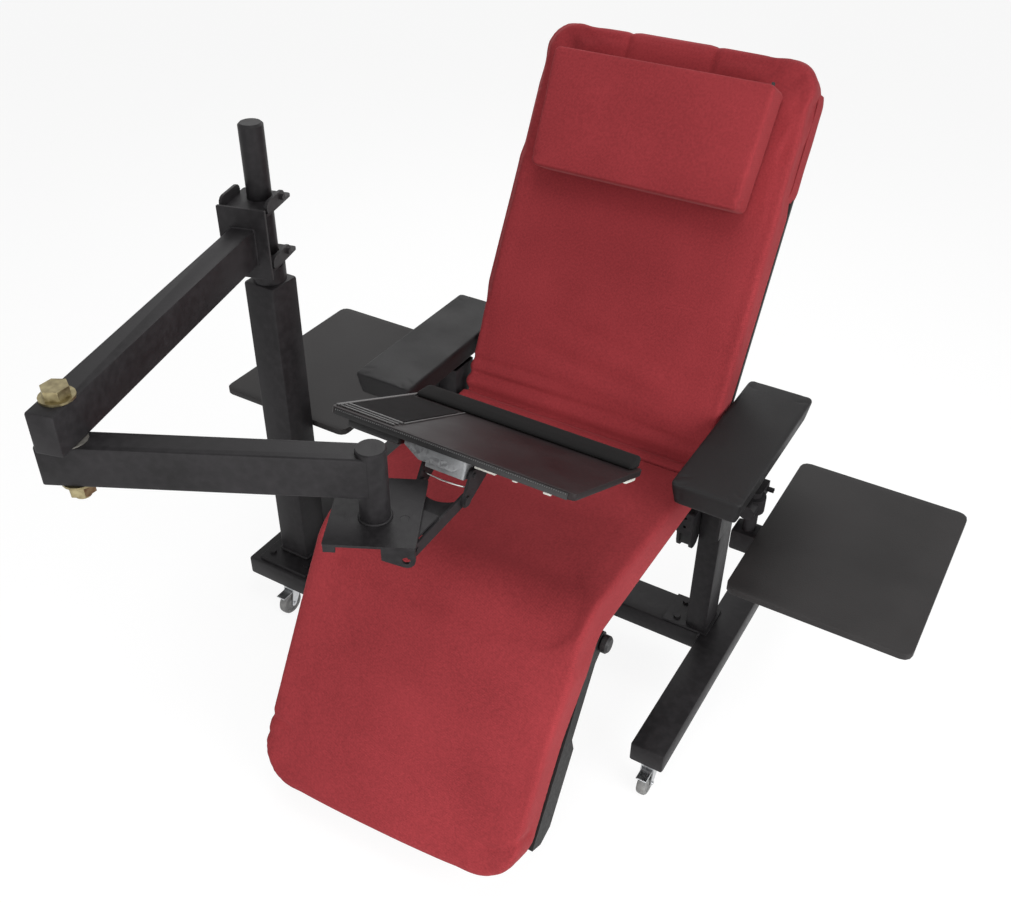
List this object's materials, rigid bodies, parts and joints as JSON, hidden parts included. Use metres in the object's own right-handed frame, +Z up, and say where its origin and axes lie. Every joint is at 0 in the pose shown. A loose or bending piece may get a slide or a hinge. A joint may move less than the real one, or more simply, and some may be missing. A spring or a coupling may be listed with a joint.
{
  "type": "zero gravity workstation chair",
  "caption": "Reclining chair with leg rest, armrests and head pillow on a caster base, with swivelling side trays and a keyboard tray on a folding arm from a mast.",
  "frame": {"origin": "on the floor, at the middle of the object's plan", "axes": "+Z up; the chair faces -Y; +X is the sitter's left, away from the mast"},
  "size_m": [1.6856, 1.4604, 1.3182],
  "materials": {
    "black_paint": "black powder coat on steel tube and plate",
    "black_wood": "black painted plywood and timber",
    "dark_laminate": "dark grey textured laminate",
    "black_vinyl": "black grained vinyl over foam",
    "red_fabric": "dark red woven upholstery over foam",
    "yellow_zinc": "yellow passivated zinc on steel",
    "bright_zinc": "bright zinc on pressed steel",
    "grey_casting": "plain grey casting",
    "grey_rubber": "grey rubber tread",
    "black_plastic": "moulded black plastic",
    "black_foam": "soft black foam rubber",
    "pale_nylon": "natural nylon",
    "spring_steel": "bare spring wire"
  },
  "bodies": {
    "base": {"left_rail": "black_paint", "right_rail": "black_paint", "cross_beam": "black_paint", "left_upright": "black_paint", "right_upright": "black_paint", "left_pivot_bracket": "black_paint", "right_pivot_bracket": "black_paint", "left_arm_plate": "black_paint", "right_arm_plate": "black_paint", "left_arm_pad": "black_vinyl", "right_arm_pad": "black_vinyl", "left_tray_clamp": "black_paint", "right_tray_clamp": "black_paint", "mast_foot_plate": "black_paint", "mast_tube": "black_paint", "mast_rod": "black_paint", "thrust_collar": "black_paint"},
    "left_tray": {"left_tray_arm": "black_paint", "left_side_tray": "dark_laminate"},
    "right_tray": {"right_tray_arm": "black_paint", "right_side_tray": "dark_laminate"},
    "front_left_fork": {"front_left_fork": "bright_zinc"},
    "front_left_wheel": {"front_left_wheel": "grey_rubber"},
    "front_left_pedal": {"front_left_pedal": "bright_zinc"},
    "back_left_fork": {"back_left_fork": "bright_zinc"},
    "back_left_wheel": {"back_left_wheel": "grey_rubber"},
    "front_right_fork": {"front_right_fork": "bright_zinc"},
    "front_right_wheel": {"front_right_wheel": "grey_rubber"},
    "front_right_pedal": {"front_right_pedal": "bright_zinc"},
    "back_right_fork": {"back_right_fork": "bright_zinc"},
    "back_right_wheel": {"back_right_wheel": "grey_rubber"},
    "swing_arm": {"carriage_plate": "black_paint", "lower_rod_bracket": "black_paint", "upper_rod_bracket": "black_paint", "swing_arm": "black_paint", "elbow_bolt": "yellow_zinc", "elbow_nut": "yellow_zinc"},
    "fore_arm": {"elbow_washer": "pale_nylon", "fore_arm": "black_paint", "keyboard_sleeve": "black_paint", "keyboard_plate": "black_paint"},
    "swivel": {"swivel_bracket": "black_paint"},
    "lift": {"lift_arm": "black_paint"},
    "head": {"tilt_head": "black_paint", "head_spring": "spring_steel"},
    "keyboard": {"tray_mount": "grey_casting", "keyboard_tray": "dark_laminate", "mouse_pad": "black_plastic", "palm_rest": "black_foam"},
    "seat": {"seat_frame": "black_wood", "seat_cushion": "red_fabric", "knee_cushion": "red_fabric"},
    "leg": {"leg_frame": "black_wood", "leg_cushion": "red_fabric", "left_knee_knob": "black_plastic", "right_knee_knob": "black_plastic"},
    "back": {"back_frame": "black_wood", "back_cushion": "red_fabric"},
    "pillow": {"head_pillow": "red_fabric"}
  },
  "joints": [
    {"name": "seat_tilt", "type": "hinge", "parent": "base", "child": "seat", "pos_m": [0.02625, 0.25519, 0.42988], "axis": [1, 0, 0], "range_deg": [-25, 5]},
    {"name": "back_recline", "type": "hinge", "parent": "seat", "child": "back", "pos_m": [0.02625, 0.32519, 0.53688], "axis": [1, 0, 0], "range_deg": [-40, 0]},
    {"name": "leg_lift", "type": "hinge", "parent": "seat", "child": "leg", "pos_m": [0.02625, -0.17981, 0.48288], "axis": [1, 0, 0], "range_deg": [-60, 0], "deforming": ["knee_cushion"]},
    {"name": "pillow_height", "type": "slide", "parent": "back", "child": "pillow", "axis": [0, 0.4617, 0.887], "range_m": [-0.1, 0.03]},
    {"name": "left_tray_swivel", "type": "hinge", "parent": "base", "child": "left_tray", "pos_m": [0.45185, 0.26019, 0.50358], "axis": [0, 0, 1], "range_deg": [-25, 25]},
    {"name": "right_tray_swivel", "type": "hinge", "parent": "base", "child": "right_tray", "pos_m": [-0.39935, 0.26019, 0.50358], "axis": [0, 0, 1], "range_deg": [-25, 2]},
    {"name": "arm_swing", "type": "hinge", "parent": "base", "child": "swing_arm", "pos_m": [-0.59075, 0.01869, 0.98868], "axis": [0, 0, 1], "range_deg": [-100, 8]},
    {"name": "elbow_swing", "type": "hinge", "parent": "swing_arm", "child": "fore_arm", "pos_m": [-0.39737, -0.67486, 0.90968], "axis": [0, 0, 1], "range_deg": [-100, 8]},
    {"name": "keyboard_swivel", "type": "hinge", "parent": "fore_arm", "child": "swivel", "pos_m": [0.0722, -0.43485, 0.85158], "axis": [0, 0, 1], "range_deg": [-40, 15]},
    {"name": "keyboard_lift", "type": "hinge", "parent": "swivel", "child": "lift", "pos_m": [0.0722, -0.46485, 0.83188], "axis": [1, 0, 0], "range_deg": [-30, 0]},
    {"name": "head_level", "type": "hinge", "parent": "lift", "child": "head", "pos_m": [0.0722, -0.32385, 0.83788], "axis": [1, 0, 0], "range_deg": [0, 30]},
    {"name": "tray_tilt", "type": "hinge", "parent": "head", "child": "keyboard", "pos_m": [0.0722, -0.29985, 0.87688], "axis": [1, 0, 0], "range_deg": [-5, 25]},
    {"name": "front_left_swivel", "type": "hinge", "parent": "base", "child": "front_left_fork", "pos_m": [0.41925, -0.06781, 0.09678], "axis": [0, 0, 1], "continuous": true},
    {"name": "front_left_roll", "type": "hinge", "parent": "front_left_fork", "child": "front_left_wheel", "pos_m": [0.41925, -0.08981, 0.03188], "axis": [1, 0, 0], "continuous": true},
    {"name": "front_left_brake", "type": "hinge", "parent": "front_left_fork", "child": "front_left_pedal", "pos_m": [0.41925, -0.08381, 0.06508], "axis": [1, 0, 0], "range_deg": [-15, 0]},
    {"name": "back_left_swivel", "type": "hinge", "parent": "base", "child": "back_left_fork", "pos_m": [0.41925, 0.69019, 0.09678], "axis": [0, 0, 1], "continuous": true},
    {"name": "back_left_roll", "type": "hinge", "parent": "back_left_fork", "child": "back_left_wheel", "pos_m": [0.41925, 0.66819, 0.03188], "axis": [1, 0, 0], "continuous": true},
    {"name": "front_right_swivel", "type": "hinge", "parent": "base", "child": "front_right_fork", "pos_m": [-0.59025, -0.03681, 0.09678], "axis": [0, 0, 1], "continuous": true},
    {"name": "front_right_roll", "type": "hinge", "parent": "front_right_fork", "child": "front_right_wheel", "pos_m": [-0.59025, -0.05881, 0.03188], "axis": [1, 0, 0], "continuous": true},
    {"name": "front_right_brake", "type": "hinge", "parent": "front_right_fork", "child": "front_right_pedal", "pos_m": [-0.59025, -0.05281, 0.06508], "axis": [1, 0, 0], "range_deg": [-15, 0]},
    {"name": "back_right_swivel", "type": "hinge", "parent": "base", "child": "back_right_fork", "pos_m": [-0.59025, 0.69019, 0.09678], "axis": [0, 0, 1], "continuous": true},
    {"name": "back_right_roll", "type": "hinge", "parent": "back_right_fork", "child": "back_right_wheel", "pos_m": [-0.59025, 0.66819, 0.03188], "axis": [1, 0, 0], "continuous": true}
  ],
  "couplings": [
    {"joint": "head_level", "follows": "keyboard_lift", "ratio": -1}
  ]
}
